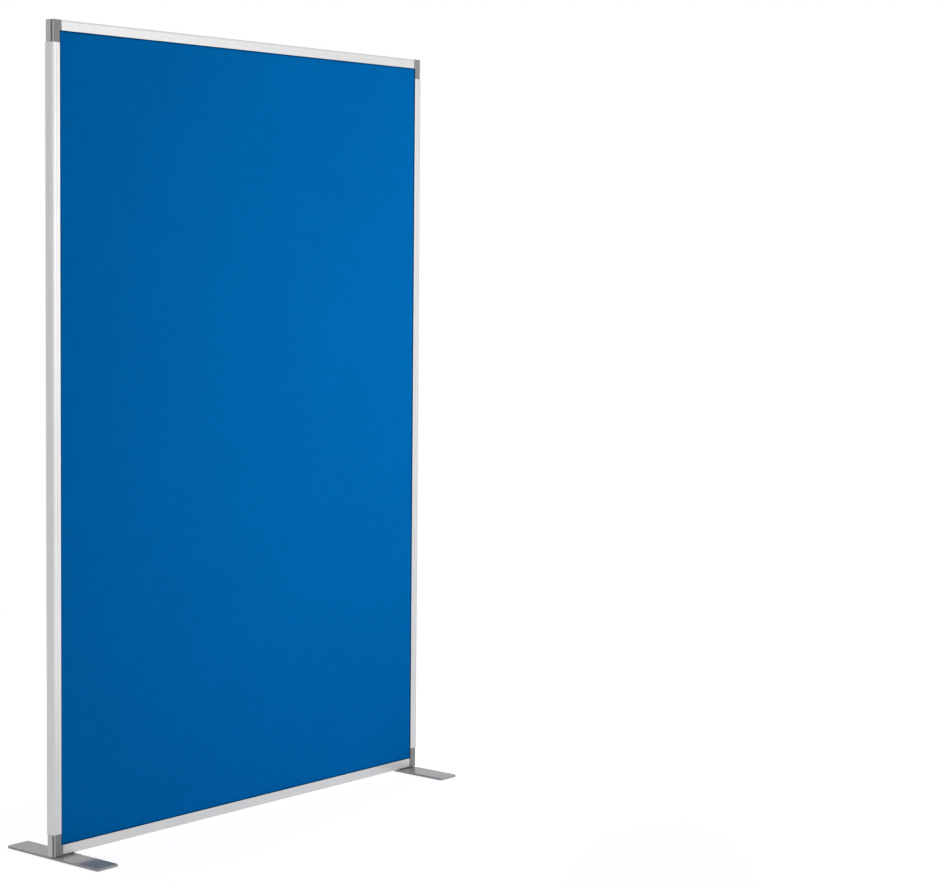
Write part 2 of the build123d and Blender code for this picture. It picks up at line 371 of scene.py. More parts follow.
    def build_dust(self) -> Pattern:
        """Thin uneven dust on what faces up.

        Returns:
            The pattern: the dust's mask.
        """
        pattern = Pattern("dust", {"Place": ORIGIN}, ("Mask",))
        graph = pattern.graph
        up = graph.split(graph.add("ShaderNodeNewGeometry").outputs["Normal"])[2]
        grains = graph.noise(pattern.given["Place"], self.DUST_SCALE, detail=3.0)
        level, specks = graph.ease(up, *self.DUST_SLOPE), graph.ease(grains, *self.DUST_SPECKS)
        return pattern.put_out(Mask=graph.math("MULTIPLY", level, specks))


@dataclass(frozen=True)
class EdgeBox:
    """Box that an edge or recess pattern follows, folded about a middle point."""

    middle: Point
    centre: Point
    half: Point

    @classmethod
    def round_node(cls, node: str, middle: Vector) -> "EdgeBox":
        """Takes the box of a CAD node.

        Args:
            node: Name of the node.
            middle: Point that mirrored nodes are folded about.

        Returns:
            The folded box.
        """
        low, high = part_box(node)
        centre = (low + high) / 2 - middle
        folded = tuple(abs(value) for value in centre)
        return cls(tuple(middle), folded, tuple((high - low) / 2))


@dataclass(frozen=True)
class Tint:
    """Colour that covers another one where a mask is, and how much it covers at most."""

    share: float
    colour: Colour


@dataclass
class Coat:
    """One material in the making: its graph, its shader's inputs and the shared patterns."""

    graph: Graph
    shader: bpy.types.NodeInputs
    place: Socket
    patterns: Patterns

    def pattern(self, name: str, **inputs: object) -> bpy.types.NodeOutputs:
        """Places a shared pattern, on Object coordinates by default, and returns its outputs."""
        return getattr(self.patterns, name).place_in(self.graph, **({"place": self.place} | inputs))

    def feed(self, name: str, value: object) -> None:
        """Feeds one input of the shader with a socket or a plain value."""
        self.graph.feed(self.shader[name], value)

    def shaded(self, colour: Colour, *parts: tuple[Socket, float]) -> Socket:
        """Varies a colour's brightness by patterns.

        Args:
            colour: The plain colour.
            parts: Patterns of 0 to 1, each with how far it takes the brightness from 1.

        Returns:
            The varied colour.
        """
        shade = None
        for pattern, reach in parts:
            part = self.graph.spread(pattern, 1.0, reach)
            shade = part if shade is None else self.graph.math("MULTIPLY", shade, part)
        return self.graph.scaled(colour, shade)

    def boxed(self, name: str, box: EdgeBox, **inputs: object) -> Socket:
        """Places a pattern that follows a box, edge_wear_and_shade or recess, and returns its mask."""
        sizes = {"middle": box.middle, "centre": box.centre, "half": box.half}
        return self.pattern(name, **sizes, **inputs)["Mask"]

    def tinted(self, base: Socket, mask: Socket, tint: Tint) -> Socket:
        """Covers a colour with a tint where a mask is, and returns the mixed colour."""
        return self.graph.mixed(self.graph.math("MULTIPLY", mask, tint.share), base, tint.colour)

    def edged(self, base: Socket, edges: EdgeBox | None, band: float, tint: Tint) -> Socket:
        """Tints a colour along the edges of a box.

        Args:
            base: The colour.
            edges: The box, or none to leave the colour as it is.
            band: Width of the tinted edges.
            tint: The tint.

        Returns:
            The colour with its edges.
        """
        if edges is None:
            return base
        return self.tinted(base, self.boxed("edge_wear_and_shade", edges, band=band), tint)


@dataclass(frozen=True)
class Finish:
    """A surface finish, which makes its own material."""

    name: str
    colour: Colour
    roughness: float

    def material(self, patterns: Patterns) -> bpy.types.Material:
        """Builds the material.

        Args:
            patterns: The shared patterns.

        Returns:
            The new material.
        """
        material = bpy.data.materials.new(self.name)
        material.use_nodes = True
        material.node_tree.nodes.clear()
        graph = Graph(material.node_tree)
        shader = graph.add("ShaderNodeBsdfPrincipled")
        graph.add("ShaderNodeOutputMaterial", {"Surface": shader.outputs[0]})
        place = graph.add("ShaderNodeTexCoord").outputs["Object"]
        self.dress(Coat(graph, shader.inputs, place, patterns))
        return material

    def dress(self, coat: Coat) -> None:
        """Feeds the shader of a coat; each finish has its own way."""
        raise NotImplementedError


@dataclass(frozen=True)
class DrawnAluminium(Finish):
    """Satin anodised extrusion with fine lines along its length and brighter edges."""

    along: Along = Along.HEIGHT
    edges: EdgeBox | None = None
    metallic: float = 0.56
    band: float = 1.1 * MM
    edge_tint: Tint = Tint(0.35, (0.9, 0.9, 0.9))
    dust_tint: Tint = Tint(0.1, (0.5, 0.5, 0.49))
    line_scale: float = 2600.0
    line_reach: float = 0.05
    cloud_reach: float = 0.025
    line_gloss: float = 0.05
    cloud_gloss: float = 0.04
    line_depth: float = 0.02 * MM
    line_strength: float = 0.6

    def dress(self, coat: Coat) -> None:
        """Feeds drawing lines, slow unevenness, bright edges and dust into the shader.

        Args:
            coat: The material in the making.
        """
        graph = coat.graph
        lines = coat.pattern("streaks", stretch=self.along.value, scale=self.line_scale)
        clouds = coat.pattern("mottle")
        line_tones = [(lines[name], self.line_reach) for name in ("Fine", "Broad")]
        colour = coat.shaded(self.colour, *line_tones, (clouds["Close"], self.cloud_reach))
        colour = coat.edged(colour, self.edges, self.band, self.edge_tint)
        coat.feed("Base Color", coat.tinted(colour, coat.pattern("dust")["Mask"], self.dust_tint))
        coat.feed("Metallic", self.metallic)
        rough = graph.spread(lines["Broad"], self.roughness, self.line_gloss)
        cloudy = graph.spread(clouds["Broad"], 0.0, self.cloud_gloss)
        coat.feed("Roughness", graph.math("ADD", rough, cloudy))
        coat.feed("Normal", graph.bump(lines["Fine"], self.line_depth, self.line_strength))


@dataclass(frozen=True)
class MouldedPlastic(Finish):
    """Moulded plastic with a fine grain, rubbed paler along its edges, with a painted line of another shade:
    painted shade where it is dark, a painted highlight where it is pale.
    """

    edges: EdgeBox | None = None
    line: EdgeBox | None = None
    # Near black by default: painted shade, as in the connectors' slots.
    line_colour: Colour = (0.02, 0.02, 0.02)
    line_share: float = 0.96
    band: float = 0.7 * MM
    rubbed: float = 0.3
    paler: float = 0.25
    dust_tint: Tint = Tint(0.15, (0.45, 0.44, 0.42))
    grain_size: float = 0.45 * MM
    tone_reach: float = 0.06
    gloss_reach: float = 0.06
    grain_depth: float = 0.03 * MM
    grain_strength: float = 0.5

    def dress(self, coat: Coat) -> None:
        """Feeds grain, slow unevenness, rubbed edges, the painted line and dust into the shader.

        Args:
            coat: The material in the making.
        """
        grain = coat.pattern("grain", size=self.grain_size)["Height"]
        clouds = coat.pattern("mottle")["Close"]
        colour = coat.shaded(self.colour, (grain, self.tone_reach), (clouds, self.tone_reach))
        pale = tuple(value + self.paler * (1 - value) for value in self.colour)
        colour = coat.edged(colour, self.edges, self.band, Tint(self.rubbed, pale))
        colour = coat.tinted(colour, coat.pattern("dust")["Mask"], self.dust_tint)
        # The painted line: dark for painted shade in the connector's slot, pale for a painted highlight on
        # the cover's edge.
        if self.line is not None:
            tint = Tint(self.line_share, self.line_colour)
            colour = coat.tinted(colour, coat.boxed("recess", self.line), tint)
        coat.feed("Base Color", colour)
        coat.feed("Roughness", coat.graph.spread(clouds, self.roughness, self.gloss_reach))
        coat.feed("Normal", coat.graph.bump(grain, self.grain_depth, self.grain_strength))


@dataclass(frozen=True)
class SatinSteel(Finish):
    """Satin steel plate with brushed lines along its length and brighter edges."""

    edges: EdgeBox | None = None
    along: Along = Along.DEPTH
    metallic: float = 0.12
    gleam: tuple[float, ...] = (0.44, 0.4, 0.34, 1.0)
    band: float = 2.0 * MM
    edge_tint: Tint = Tint(0.6, (0.62, 0.62, 0.62))
    dust_tint: Tint = Tint(0.12, (0.5, 0.49, 0.47))
    line_scale: float = 1900.0
    line_reach: float = 0.09
    scuff_reach: float = 0.08
    line_gloss: float = 0.04
    dust_gloss: float = 0.12
    line_depth: float = 0.03 * MM
    line_strength: float = 0.4

    def dress(self, coat: Coat) -> None:
        """Feeds brushed lines, scuffs, bright edges and dust into the shader.

        Args:
            coat: The material in the making.
        """
        graph = coat.graph
        lines = coat.pattern("streaks", stretch=self.along.value, scale=self.line_scale)
        scuffs = coat.pattern("mottle")["Close"]
        dust = coat.pattern("dust")["Mask"]
        colour = coat.shaded(self.colour, (lines["Fine"], self.line_reach), (scuffs, self.scuff_reach))
        colour = coat.edged(colour, self.edges, self.band, self.edge_tint)
        coat.feed("Base Color", coat.tinted(colour, dust, self.dust_tint))
        coat.feed("Metallic", self.metallic)
        coat.feed("Specular Tint", self.gleam)
        rough = graph.spread(lines["Broad"], self.roughness, self.line_gloss)
        coat.feed("Roughness", graph.math("MULTIPLY_ADD", dust, self.dust_gloss, rough))
        coat.feed("Normal", graph.bump(lines["Fine"], self.line_depth, self.line_strength))


@dataclass(frozen=True)
class WovenFabric(Finish):
    """Plain woven upholstery cloth with slubs, on the cloth's own flat map in metres."""

    # rim: box of the painted shade along the cloth's border, where the cloth dips beside the frame's lip
    rim: EdgeBox | None = None
    rim_band: float = 3.4 * MM
    rim_share: float = 0.45
    rim_shade: float = 0.3
    pitch: float = 1.1 * MM
    # Brightness on the threads' crowns and its reach: painted shade between the threads.
    crown_shade: Pair = (1.02, 0.1)
    over_reach: float = 0.03
    slub_tones: Pair = (0.15, 0.16)
    slub_heights: Pair = (0.35, 0.25)
    cloud_reaches: Pair = (0.06, 0.05)
    fluff_size: float = 0.35 * MM
    fluff_reach: float = 0.04
    fluff_gloss: float = 0.05
    sheen: float = 0.05
    sheen_roughness: float = 0.6
    sheen_tint: tuple[float, ...] = (0.0, 0.4, 1.0, 1.0)
    thread_depth: float = 0.16 * MM
    thread_strength: float = 0.6

    def dress(self, coat: Coat) -> None:
        """Feeds the weave with painted shade between its threads, slubs, slow dye unevenness and a painted
        shade along the rim, where the cloth dips under the frame's lip, into the shader.

        Args:
            coat: The material in the making.
        """
        graph = coat.graph
        flat = graph.add("ShaderNodeUVMap", uv_map=FLAT_MAP).outputs[0]
        weave = coat.pattern("weave", place=flat, pitch=self.pitch)
        slubs = coat.pattern("slubs", place=flat)
        fluff = coat.pattern("grain", size=self.fluff_size)["Height"]
        clouds = coat.pattern("mottle")
        thread = weave["Height"]
        over = graph.spread(weave["Over"], 1.0, self.over_reach)
        # Painted shade: the colour follows the threads' height, lighter on their crowns and darker in the
        # gaps between them.
        shade = graph.math("MULTIPLY", graph.spread(thread, *self.crown_shade), over)
        for name, tone, rise in zip(("Upright", "Level"), self.slub_tones, self.slub_heights):
            shade = graph.math("MULTIPLY_ADD", slubs[name], tone, shade)
            thread = graph.math("MULTIPLY_ADD", slubs[name], rise, thread)
        reaches = (self.fluff_reach, *self.cloud_reaches)
        for part, reach in zip((fluff, clouds["Broad"], clouds["Close"]), reaches):
            shade = graph.math("MULTIPLY", shade, graph.spread(part, 1.0, reach))
        colour = graph.scaled(self.colour, shade)
        # Painted shade: the border of the cloth is darkened where it dips beside and under the frame's lip.
        if self.rim is not None:
            painted_shade = Tint(self.rim_share, tuple(self.rim_shade * value for value in self.colour))
            rim = coat.boxed("edge_wear_and_shade", self.rim, place=flat, band=self.rim_band)
            colour = coat.tinted(colour, rim, painted_shade)
        coat.feed("Base Color", colour)
        coat.feed("Roughness", graph.spread(fluff, self.roughness, self.fluff_gloss))
        coat.feed("Specular IOR Level", 0.0)
        coat.feed("Sheen Weight", self.sheen)
        coat.feed("Sheen Roughness", self.sheen_roughness)
        coat.feed("Sheen Tint", self.sheen_tint)
        coat.feed("Normal", graph.bump(thread, self.thread_depth, self.thread_strength))


@dataclass(frozen=True)
class PlatedMetal(Finish):
    """Small plated or turned metal parts."""

    metallic: float = 1.0
    grain_size: float = 0.3 * MM
    grain_reach: float = 0.08
    cloud_reach: float = 0.1
    gloss_reach: float = 0.08
    grain_depth: float = 0.02 * MM
    grain_strength: float = 0.4

    def dress(self, coat: Coat) -> None:
        """Feeds a cloudy plating and fine grain into the shader.

        Args:
            coat: The material in the making.
        """
        grain = coat.pattern("grain", size=self.grain_size)["Height"]
        clouds = coat.pattern("mottle")["Close"]
        colour = coat.shaded(self.colour, (grain, self.grain_reach), (clouds, self.cloud_reach))
        coat.feed("Base Color", colour)
        coat.feed("Metallic", self.metallic)
        coat.feed("Roughness", coat.graph.spread(clouds, self.roughness, self.gloss_reach))
        coat.feed("Normal", coat.graph.bump(grain, self.grain_depth, self.grain_strength))


@dataclass(frozen=True)
class CoarseStuff(Finish):
    """Matt rubber, foam or pressed fibre, with pores or fibres of a given size."""

    pore: float = 1.2 * MM
    depth: float = 0.3 * MM
    contrast: float = 0.2
    cloud_reach: float = 0.08
    gloss_reach: float = 0.04
    specular: float = 0.3
    pore_strength: float = 0.7

    def dress(self, coat: Coat) -> None:
        """Feeds pores and slow unevenness into the shader.

        Args:
            coat: The material in the making.
        """
        graph = coat.graph
        inputs = {"Vector": coat.place, "Scale": 1 / self.pore}
        cells = graph.add("ShaderNodeTexVoronoi", inputs).outputs["Distance"]
        clouds = coat.pattern("mottle")["Close"]
        colour = coat.shaded(self.colour, (cells, self.contrast), (clouds, self.cloud_reach))
        coat.feed("Base Color", colour)
        coat.feed("Roughness", graph.spread(clouds, self.roughness, self.gloss_reach))
        coat.feed("Specular IOR Level", self.specular)
        coat.feed("Normal", graph.bump(cells, self.depth, self.pore_strength))


@dataclass
class Workshop:
    """What every sub-assembly needs: the CAD nodes, the body they ride on and the shared patterns."""

    nodes: dict[str, bpy.types.Object]
    body: str
    patterns: Patterns

    def dress_nodes(self, names: list[str], finish: Finish) -> None:
        """Gives CAD nodes one material.

        Args:
            names: Names of the nodes.
            finish: The finish that they share.
        """
        material = finish.material(self.patterns)
        for name in names:
            self.nodes[name].material_slots[0].material = material
        LOG.info("%s: %s", finish.name, ", ".join(names))

    def finish_piece(
        self, name: str, mesh: bmesh.types.BMesh, finish: Finish, slot: str, node: str
    ) -> bpy.types.Object:
        """Makes a finished piece that stands for a CAD node.

        Args:
            name: Name of the piece.
            mesh: Its shape, in place, which is freed.
            finish: Its finish.
            slot: The record's material slot; not used.
            node: The CAD node that it replaces.

        Returns:
            The new object.
        """
        data = bpy.data.meshes.new(name)
        mesh.to_mesh(data)
        mesh.free()
        data.shade_smooth()
        data.materials.append(finish.material(self.patterns))
        piece = bpy.data.objects.new(name, data)
        bpy.context.scene.collection.objects.link(piece)
        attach(piece, self.body)
        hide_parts(node)
        LOG.info("%s: %d faces", name, len(data.polygons))
        return piece


@dataclass
class ExtrudedFrame:
    """The four lengths of satin anodised extrusion."""

    workshop: Workshop
    upright: DrawnAluminium = DrawnAluminium("upright_aluminium", (0.675, 0.675, 0.675), 0.36, Along.HEIGHT)
    level: DrawnAluminium = DrawnAluminium("level_aluminium", (0.66, 0.66, 0.66), 0.36, Along.WIDTH)

    def build(self) -> None:
        """Dresses the stiles and rails, each with its lines along its own length."""
        middle = (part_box("left_stile")[0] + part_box("right_stile")[1]) / 2
        for finish, nodes in (
            (self.upright, ["left_stile", "right_stile"]),
            (self.level, ["top_rail", "bottom_rail"]),
        ):
            edges = EdgeBox.round_node(nodes[0], middle)
            self.workshop.dress_nodes(nodes, replace(finish, edges=edges))


@dataclass
class CornerSet:
    """The corner connectors, their covers and the frame's tapping screws."""

    workshop: Workshop
    # Two-tone plastic, partly painted light: the connector's pale grey also stands for light on its side
    # faces, the cover's dark grey for shade on its front faces.
    connector: MouldedPlastic = MouldedPlastic("corner_connector_plastic", (0.72, 0.72, 0.72), 0.42)
    # Pale line on the cover: a painted highlight along its outer edge.
    cover: MouldedPlastic = MouldedPlastic(
        "corner_cover_plastic", (0.25, 0.25, 0.25), 0.4, line_colour=(0.75, 0.75, 0.75)
    )
    screws: PlatedMetal = PlatedMetal("zinc_plate", (0.6, 0.6, 0.61), 0.34)
    rim_width: float = 0.8 * MM
    slot_depth: float = 4.0 * MM
    # Width and depth of the painted highlight on each cover.
    highlight_width: float = 0.9 * MM
    highlight_depth: float = 3.6 * MM
    margin: float = 0.1 * MM

    def build(self) -> None:
        """Dresses the corners: painted shade in the slot beside each connector's rim and a painted highlight
        along each cover's outer edge.
        """
        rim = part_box("corner_connector_bottom_left")[0]
        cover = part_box("corner_cover_front_bottom_left")[0]
        middle = (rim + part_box("corner_connector_top_right")[1]) / 2
        # Box of the slot beside each connector's rim, which is filled with painted shade.
        slot_across = (-cover.x, -rim.x - self.rim_width)
        slot = self.upright_line(middle, slot_across, (-rim.y - self.slot_depth, -rim.y))
        # Box of the painted highlight along each cover's outer edge.
        highlight_across = (-cover.x - self.highlight_width, -cover.x)
        painted_highlight = self.upright_line(middle, highlight_across, (-cover.y - self.highlight_depth, -cover.y))
        for part, finish, line in (
            ("corner_connector", self.connector, slot),
            ("corner_cover", self.cover, painted_highlight),
        ):
            nodes = sorted(name for name in self.workshop.nodes if name.startswith(part))
            edges = EdgeBox.round_node(nodes[0], middle)
            self.workshop.dress_nodes(nodes, replace(finish, edges=edges, line=line))
        self.workshop.dress_nodes(["frame_screws"], self.screws)

    def upright_line(self, middle: Vector, across: Pair, deep: Pair) -> EdgeBox:
        """Box of a line along the outer edge of every corner, front and rear.

        Args:
            middle: Point that the corners are folded about.
            across: Its span outwards from the middle.
            deep: Its span from the screen's mid plane.

        Returns:
            The folded box, as tall as the screen.
        """
        centre = (sum(across) / 2, sum(deep) / 2, 0.0)
        half = [abs(high - low) / 2 + self.margin for low, high in (across, deep)]
        return EdgeBox(tuple(middle), centre, (*half, middle.z + MM))


@dataclass
class AcousticPanel:
    """The fabric faces over their foam layers and core board; steps are millimetres out and back."""

    workshop: Workshop
    fabric: WovenFabric = WovenFabric("blue_weave", (0.0004, 0.132, 0.418), 0.85)
    foam: CoarseStuff = CoarseStuff("open_cell_foam", (0.3, 0.3, 0.31), 0.95)
    board: CoarseStuff = CoarseStuff("pressed_fibre", (0.6, 0.57, 0.48), 0.9, 2.5 * MM, 0.2 * MM, 0.15)
    cloth_thickness: float = 0.8 * MM
    dip_steps: tuple[Pair, ...] = ((1.3, 0.2), (1.1, 0.7), (0.8, 0.9))
    edge_steps: tuple[Pair, ...] = ((0.7, 0.3), (0.3, 0.7))
    foam_step: float = 0.1
    foam_cuts: int = 15
    crown: float = 0.5 * MM
    crown_power: int = 4
    ripple: float = 0.12 * MM
    ripple_scale: float = 8.0
    ripple_seed: float = 5.0
    columns: int = 60
    rows: int = 90
    rim_inset: float = 1.2 * MM
    middle: Vector = field(init=False)
    half_face: Pair = field(init=False)
    flat_size: Pair = field(init=False)

    def __post_init__(self) -> None:
        """Takes the panel's middle and the flat part of its face from the CAD frame."""
        low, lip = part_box("left_stile")
        self.middle = (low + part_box("right_stile")[1]) / 2
        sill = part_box("bottom_rail")[1].z
        dip = sum(out for out, _ in self.dip_steps) * MM
        self.half_face = (abs(lip.x) - dip, self.middle.z - sill - dip)

    def build(self) -> None:
        """Makes both faces and dresses the core board."""
        for facing in Facing:
            side = facing.name.lower()
            foam = self.build_foam(facing, f"{side}_foam")
            cloth = self.build_cloth(facing, f"{side}_fabric")
        self.workshop.dress_nodes(["acoustic_core"], self.board)

    def swell(self, place: Vector, facing: Facing) -> float:
        """How far the padded face stands out at a place.

        Args:
            place: A point on the face.
            facing: Which face.

        Returns:
            The distance in metres, which is nothing outside the flat part of the face.
        """
        across = min(1.0, abs(place.x) / self.half_face[0])
        up = min(1.0, abs(place.z - self.middle.z) / self.half_face[1])
        fade = (1 - across**self.crown_power) * (1 - up**self.crown_power)
        seed = self.ripple_seed * facing.value
        wave = noise.noise(Vector((place.x * self.ripple_scale, seed, place.z * self.ripple_scale)))
        return fade * (self.crown + self.ripple * wave)

    def build_cloth(self, facing: Facing, node: str) -> bpy.types.Object:
        """Stretched cloth: flat face, dip beside the frame's lip, and turn-in round the panel's edge.

        Args:
            facing: Which face.
            node: The CAD node that the cloth replaces.

        Returns:
            The cloth.
        """
        low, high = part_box(node)
        level, back_edge = (low.y, high.y) if facing is Facing.FRONT else (high.y, low.y)
        sheet = bmesh.new()
        flat_place = [sheet.verts.layers.float.new(name) for name in ("flat_x", "flat_z")]
        self.lay_face(sheet, facing, level, flat_place)
        dips = [(out * MM, back * MM) for out, back in self.dip_steps]
        edges = [(out * MM, back * MM) for out, back in self.edge_steps]
        under_lip = high.x - self.half_face[0] - sum(out for out, _ in dips + edges)
        turned = abs(back_edge - level) - sum(back for _, back in dips + edges)
        reach = list(self.half_face)
        travel = 0.0
        for out, back in [*dips, (under_lip, 0.0), *edges, (0.0, turned)]:
            travel += math.hypot(out, back)
            self.step_border(sheet, facing, reach, (out, back), travel, flat_place)
            reach = [half + out for half in reach]
        for vert in sheet.verts:
            vert.co.y += facing.value * self.swell(vert.co, facing)
        self.flat_size = tuple(2 * (half + travel) for half in self.half_face)
        self.write_flat_map(sheet, flat_place)
        # Box of the painted shade along the cloth's border, a little inside the dip beside the lip.
        shown = tuple(half + self.rim_inset for half in self.half_face)
        rim = EdgeBox((0.0, self.middle.z, 0.0), ORIGIN, (*shown, 0.0))
        fabric = replace(self.fabric, name=f"{facing.name.lower()}_{self.fabric.name}", rim=rim)
        cloth = self.workshop.finish_piece(f"{node}_cloth", sheet, fabric, "blue_fabric", node)
        wall = cloth.modifiers.new("cloth_thickness", "SOLIDIFY")
        wall.thickness = self.cloth_thickness
        wall.offset = -1.0
        return cloth

    def lay_face(self, sheet: bmesh.types.BMesh, facing: Facing, level: float, flat_place: FlatPlace) -> None:
        """Lays the flat part of a cloth, facing outwards.

        Args:
            sheet: The empty cloth.
            facing: Which face.
            level: Where the face lies along Y.
            flat_place: Layers that keep each point's place on the flat cloth.
        """
        bmesh.ops.create_grid(sheet, x_segments=self.columns, y_segments=self.rows, size=1.0)
        bmesh.ops.scale(sheet, vec=(*self.half_face, 1.0), verts=sheet.verts)
        turn = Matrix.Rotation(math.pi / 2, 3, "X")
        if facing is Facing.REAR:
            turn = Matrix.Rotation(math.pi, 3, "Z") @ turn
        bmesh.ops.rotate(sheet, cent=ORIGIN, matrix=turn, verts=sheet.verts)
        bmesh.ops.translate(sheet, vec=(0, level, self.middle.z), verts=sheet.verts)
        for vert in sheet.verts:
            vert[flat_place[0]] = vert.co.x
            vert[flat_place[1]] = vert.co.z

    def step_border(
        self,
        sheet: bmesh.types.BMesh,
        facing: Facing,
        reach: list[float],
        step: Pair,
        travel: float,
        flat_place: FlatPlace,
    ) -> None:
        """Adds one strip round the cloth's border.

        Args:
            sheet: The cloth so far.
            facing: Which face.
            reach: Half width and half height of the border now.
            step: Distance outwards and backwards of the new border.
            travel: Length of cloth from the flat face to the new border.
            flat_place: Layers that keep each point's place on the flat cloth.
        """
        border = [edge for edge in sheet.edges if edge.is_boundary]
        made = bmesh.ops.extrude_edge_only(sheet, edges=border)["geom"]
        for vert in (item for item in made if isinstance(item, bmesh.types.BMVert)):
            offset = (vert.co.x, vert.co.z - self.middle.z)
            moved = [0.0, 0.0]
            for axis, (value, half, face) in enumerate(zip(offset, reach, self.half_face)):
                on_border = abs(abs(value) - half) < SAME_PLACE
                side = math.copysign(1.0, value)
                moved[axis] = side * step[0] if on_border else 0.0
                centre = (0.0, self.middle.z)[axis]
                vert[flat_place[axis]] = centre + (side * (face + travel) if on_border else value)
            vert.co += Vector((moved[0], -facing.value * step[1], moved[1]))

    def write_flat_map(self, sheet: bmesh.types.BMesh, flat_place: FlatPlace) -> None:
        """Writes each point's place on the flat cloth, in metres, to the cloth's own map.

        Args:
            sheet: The whole cloth.
            flat_place: Layers that keep each point's place on the flat cloth.
        """
        flat_map = sheet.loops.layers.uv.new(FLAT_MAP)
        for face in sheet.faces:
            for loop in face.loops:
                loop[flat_map].uv = [loop.vert[layer] for layer in flat_place]

    def build_foam(self, facing: Facing, node: str) -> bpy.types.Object:
        """Foam layer under the cloth, eased back along its rim so that the cloth can dip.

        Args:
            facing: Which face.
            node: The CAD node that the foam replaces.

        Returns:
            The foam layer.
        """
        low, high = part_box(node)
        size, centre = high - low, (low + high) / 2
        foam = bmesh.new()
        bmesh.ops.create_cube(foam, size=1.0)
        bmesh.ops.scale(foam, vec=size, verts=foam.verts)
        bmesh.ops.translate(foam, vec=centre, verts=foam.verts)
        foam.normal_update()
        face = max(foam.faces, key=lambda side: side.normal.y * facing.value)
        rim = list(face.verts)
        bmesh.ops.inset_region(foam, faces=[face], thickness=size.x / 2 - self.half_face[0])
        eased = (sum(back for _, back in self.dip_steps) + self.foam_step) * MM
        bmesh.ops.translate(foam, vec=(0, -facing.value * eased, 0), verts=rim)
        bmesh.ops.subdivide_edges(foam, edges=foam.edges[:], cuts=self.foam_cuts, use_grid_fill=True)
        for vert in foam.verts:
            if abs(vert.co.y) > abs(centre.y):
                vert.co.y += facing.value * self.swell(vert.co, facing)
        finish = replace(self.foam, name=f"{facing.name.lower()}_{self.foam.name}")
        return self.workshop.finish_piece(f"{node}_layer", foam, finish, "foam", node)


@dataclass
class FootSet:
    """The foot plates with their packing strips, screws, inserts and pads."""

    workshop: Workshop
    plate: SatinSteel = SatinSteel("satin_steel", (0.345, 0.338, 0.326), 0.11)
    packing: MouldedPlastic = MouldedPlastic("dark_packing", (0.06, 0.06, 0.06), 0.6)
    screws: PlatedMetal = PlatedMetal("screw_zinc", (0.55, 0.55, 0.56), 0.36)
    pads: CoarseStuff = CoarseStuff("pad_rubber", (0.035, 0.035, 0.036), 0.8, 0.8 * MM, 0.05 * MM)
    inserts: PlatedMetal = PlatedMetal("turned_brass", (0.72, 0.5, 0.2), 0.3)

    def build(self) -> None:
        """Dresses both feet and the inserts."""
        edges = EdgeBox.round_node("foot_plate_right", Vector(ORIGIN))
        for part, finish in (
            ("foot_plate", replace(self.plate, edges=edges)),
            ("foot_spacer", self.packing),
            ("foot_screws", self.screws),
            ("foot_pads", self.pads),
        ):
            self.workshop.dress_nodes([f"{part}_{side}" for side in ("left", "right")], finish)
        self.workshop.dress_nodes(["thread_inserts"], self.inserts)


@dataclass(frozen=True)
class SoftBox:
    """A soft area lamp, mirrored in gloss or not."""

    name: str
    place: Point
    aim: Point
    width: float
    height: float
    level: float
    mirrored: bool = True

    def build(self) -> None:
        """Adds the lamp, turned to what it lights."""
        lamp = bpy.data.lights.new(self.name, "AREA")
        lamp.shape = "RECTANGLE"
        lamp.size, lamp.size_y = self.width, self.height
        lamp.energy = self.level * math.pi * self.width * self.height
        holder = bpy.data.objects.new(self.name, lamp)
        holder.location = self.place
        holder.rotation_euler = (Vector(self.aim) - holder.location).to_track_quat("-Z", "Y").to_euler()
        holder.visible_camera = False
        holder.visible_glossy = self.mirrored
        bpy.context.scene.collection.objects.link(holder)


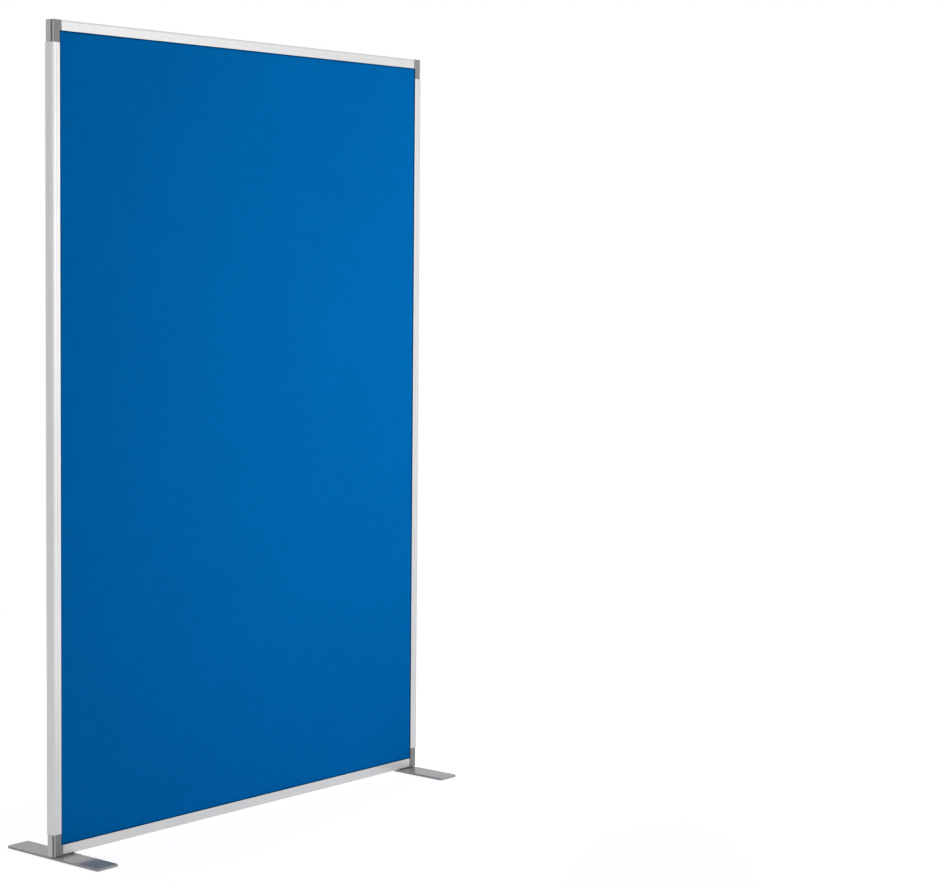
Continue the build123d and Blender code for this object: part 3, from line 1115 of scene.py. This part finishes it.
@dataclass
class Studio:
    """Camera, floor, lamps and background."""

    photo_width: int = 945
    photo_height: int = 888
    camera_place: Point = (-3.775, -3.772, 1.305)
    camera_pan: float = -50.65
    camera_tilt: float = -3.37
    camera_roll: float = -0.49
    focal_pixels: float = 2270.0
    middle_row: float = 394.0
    sensor: float = 36.0
    view_reach: float = 100.0
    ambient: float = 0.39
    glow_share: float = 0.6
    glow: float = 1.35
    shadow_reach: Pair = (0.9, 3.2)
    floor_size: float = 24.0
    floor_colour: tuple[float, ...] = (0.9, 0.9, 0.9, 1.0)
    lamps: tuple[SoftBox, ...] = (
        SoftBox("key_box", (0.72, -1.15, 1.24), (0.56, 0.0, 1.56), 1.94, 1.6, 1.24, mirrored=False),
        SoftBox("side_box", (2.61, -4.34, 1.45), (-0.59, 0.0, 1.3), 1.76, 2.3, 2.05),
        SoftBox("low_box", (0.1, -0.9, 0.3), (-0.4, 0.0, 0.25), 0.9, 0.4, 0.5),
        SoftBox("left_box", (-3.2, 0.2, 1.6), (0.0, 0.0, 0.9), 1.4, 2.2, 0.4),
        SoftBox("rear_box", (0.4, 3.2, 1.8), (0.0, 0.0, 0.9), 2.4, 2.0, 2.3, mirrored=False),
        SoftBox("top_box", (0.0, -0.1, 4.2), (0.0, 0.0, 0.9), 2.4, 2.4, 0.9),
    )

    def build(self) -> None:
        """Builds the whole studio."""
        self.build_camera()
        self.build_world()
        self.build_floor()
        for lamp in self.lamps:
            lamp.build()
        bpy.context.scene.view_settings.view_transform = "Standard"
        LOG.info("studio: %d lamps", len(self.lamps))

    def build_camera(self) -> None:
        """Adds the camera at the photograph's viewing place, with its middle row shifted."""
        data = bpy.data.cameras.new("camera")
        data.sensor_width = self.sensor
        data.lens = self.focal_pixels * self.sensor / self.photo_width
        data.shift_y = (self.middle_row - self.photo_height / 2) / self.photo_width
        data.clip_end = self.view_reach
        camera = bpy.data.objects.new("camera", data)
        turns = ((self.camera_pan, "Z"), (self.camera_roll, "Y"), (self.camera_tilt + 90.0, "X"))
        aim = Matrix.Identity(4)
        for degrees, axis in turns:
            aim = aim @ Matrix.Rotation(math.radians(degrees), 4, axis)
        camera.matrix_world = Matrix.Translation(self.camera_place) @ aim
        bpy.context.scene.collection.objects.link(camera)
        bpy.context.scene.camera = camera

    def seen_share(self, graph: Graph) -> Socket:
        """Adds a share that tells what is seen from the light itself.

        Args:
            graph: The graph of the world or of a material.

        Returns:
            1 for what the camera, metal and glass see, and 0 for the light itself.
        """
        path = graph.add("ShaderNodeLightPath").outputs
        mirrored = graph.math("MAXIMUM", path["Is Glossy Ray"], path["Is Transmission Ray"])
        return graph.math("MAXIMUM", path["Is Camera Ray"], mirrored)

    def build_world(self) -> None:
        """White background with a plain grey light."""
        world = bpy.data.worlds.new("studio")
        world.use_nodes = True
        world.node_tree.nodes.clear()
        graph = Graph(world.node_tree)
        light = graph.add("ShaderNodeBackground", {"Color": WHITE, "Strength": self.ambient})
        white = graph.add("ShaderNodeBackground", {"Color": WHITE, "Strength": 1.0})
        inputs = {0: self.seen_share(graph), 1: light.outputs[0], 2: white.outputs[0]}
        mixed = graph.add("ShaderNodeMixShader", inputs)
        graph.add("ShaderNodeOutputWorld", {"Surface": mixed.outputs[0]})
        bpy.context.scene.world = world

    def build_floor(self) -> None:
        """Plain white floor that keeps a faint shadow near the screen and is even white far from it."""
        plane = bmesh.new()
        bmesh.ops.create_grid(plane, x_segments=1, y_segments=1, size=self.floor_size / 2)
        data = bpy.data.meshes.new("floor")
        plane.to_mesh(data)
        plane.free()
        floor = bpy.data.objects.new("floor", data)
        bpy.context.scene.collection.objects.link(floor)
        material = bpy.data.materials.new("white_floor")
        material.use_nodes = True
        material.node_tree.nodes.clear()
        graph = Graph(material.node_tree)
        matt = graph.add("ShaderNodeBsdfDiffuse", {"Color": self.floor_colour})
        place = graph.add("ShaderNodeTexCoord").outputs["Object"]
        distance = graph.add("ShaderNodeVectorMath", {0: place}, operation="LENGTH").outputs["Value"]
        far = graph.ease(distance, *self.shadow_reach)
        strength = graph.math("MULTIPLY_ADD", far, 1.0 - self.glow, self.glow)
        glow = graph.add("ShaderNodeEmission", {"Color": WHITE, "Strength": strength})
        part = graph.math("MULTIPLY_ADD", far, 1.0 - self.glow_share, self.glow_share)
        share = graph.math("MULTIPLY", self.seen_share(graph), part)
        mixed = graph.add("ShaderNodeMixShader", {0: share, 1: matt.outputs[0], 2: glow.outputs[0]})
        graph.add("ShaderNodeOutputMaterial", {"Surface": mixed.outputs[0]})
        data.materials.append(material)


def main() -> None:
    """Builds the studio and dresses the four sub-assemblies in order."""
    logging.basicConfig(level=logging.INFO, format="%(message)s")
    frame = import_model()
    Studio().build()
    workshop = Workshop(frame["nodes"], next(iter(frame["bodies"])), Patterns())
    for assembly in (ExtrudedFrame, CornerSet, AcousticPanel, FootSet):
        assembly(workshop).build()
        LOG.info("%s is dressed", assembly.__name__)


if __name__ == "__main__":
    main()
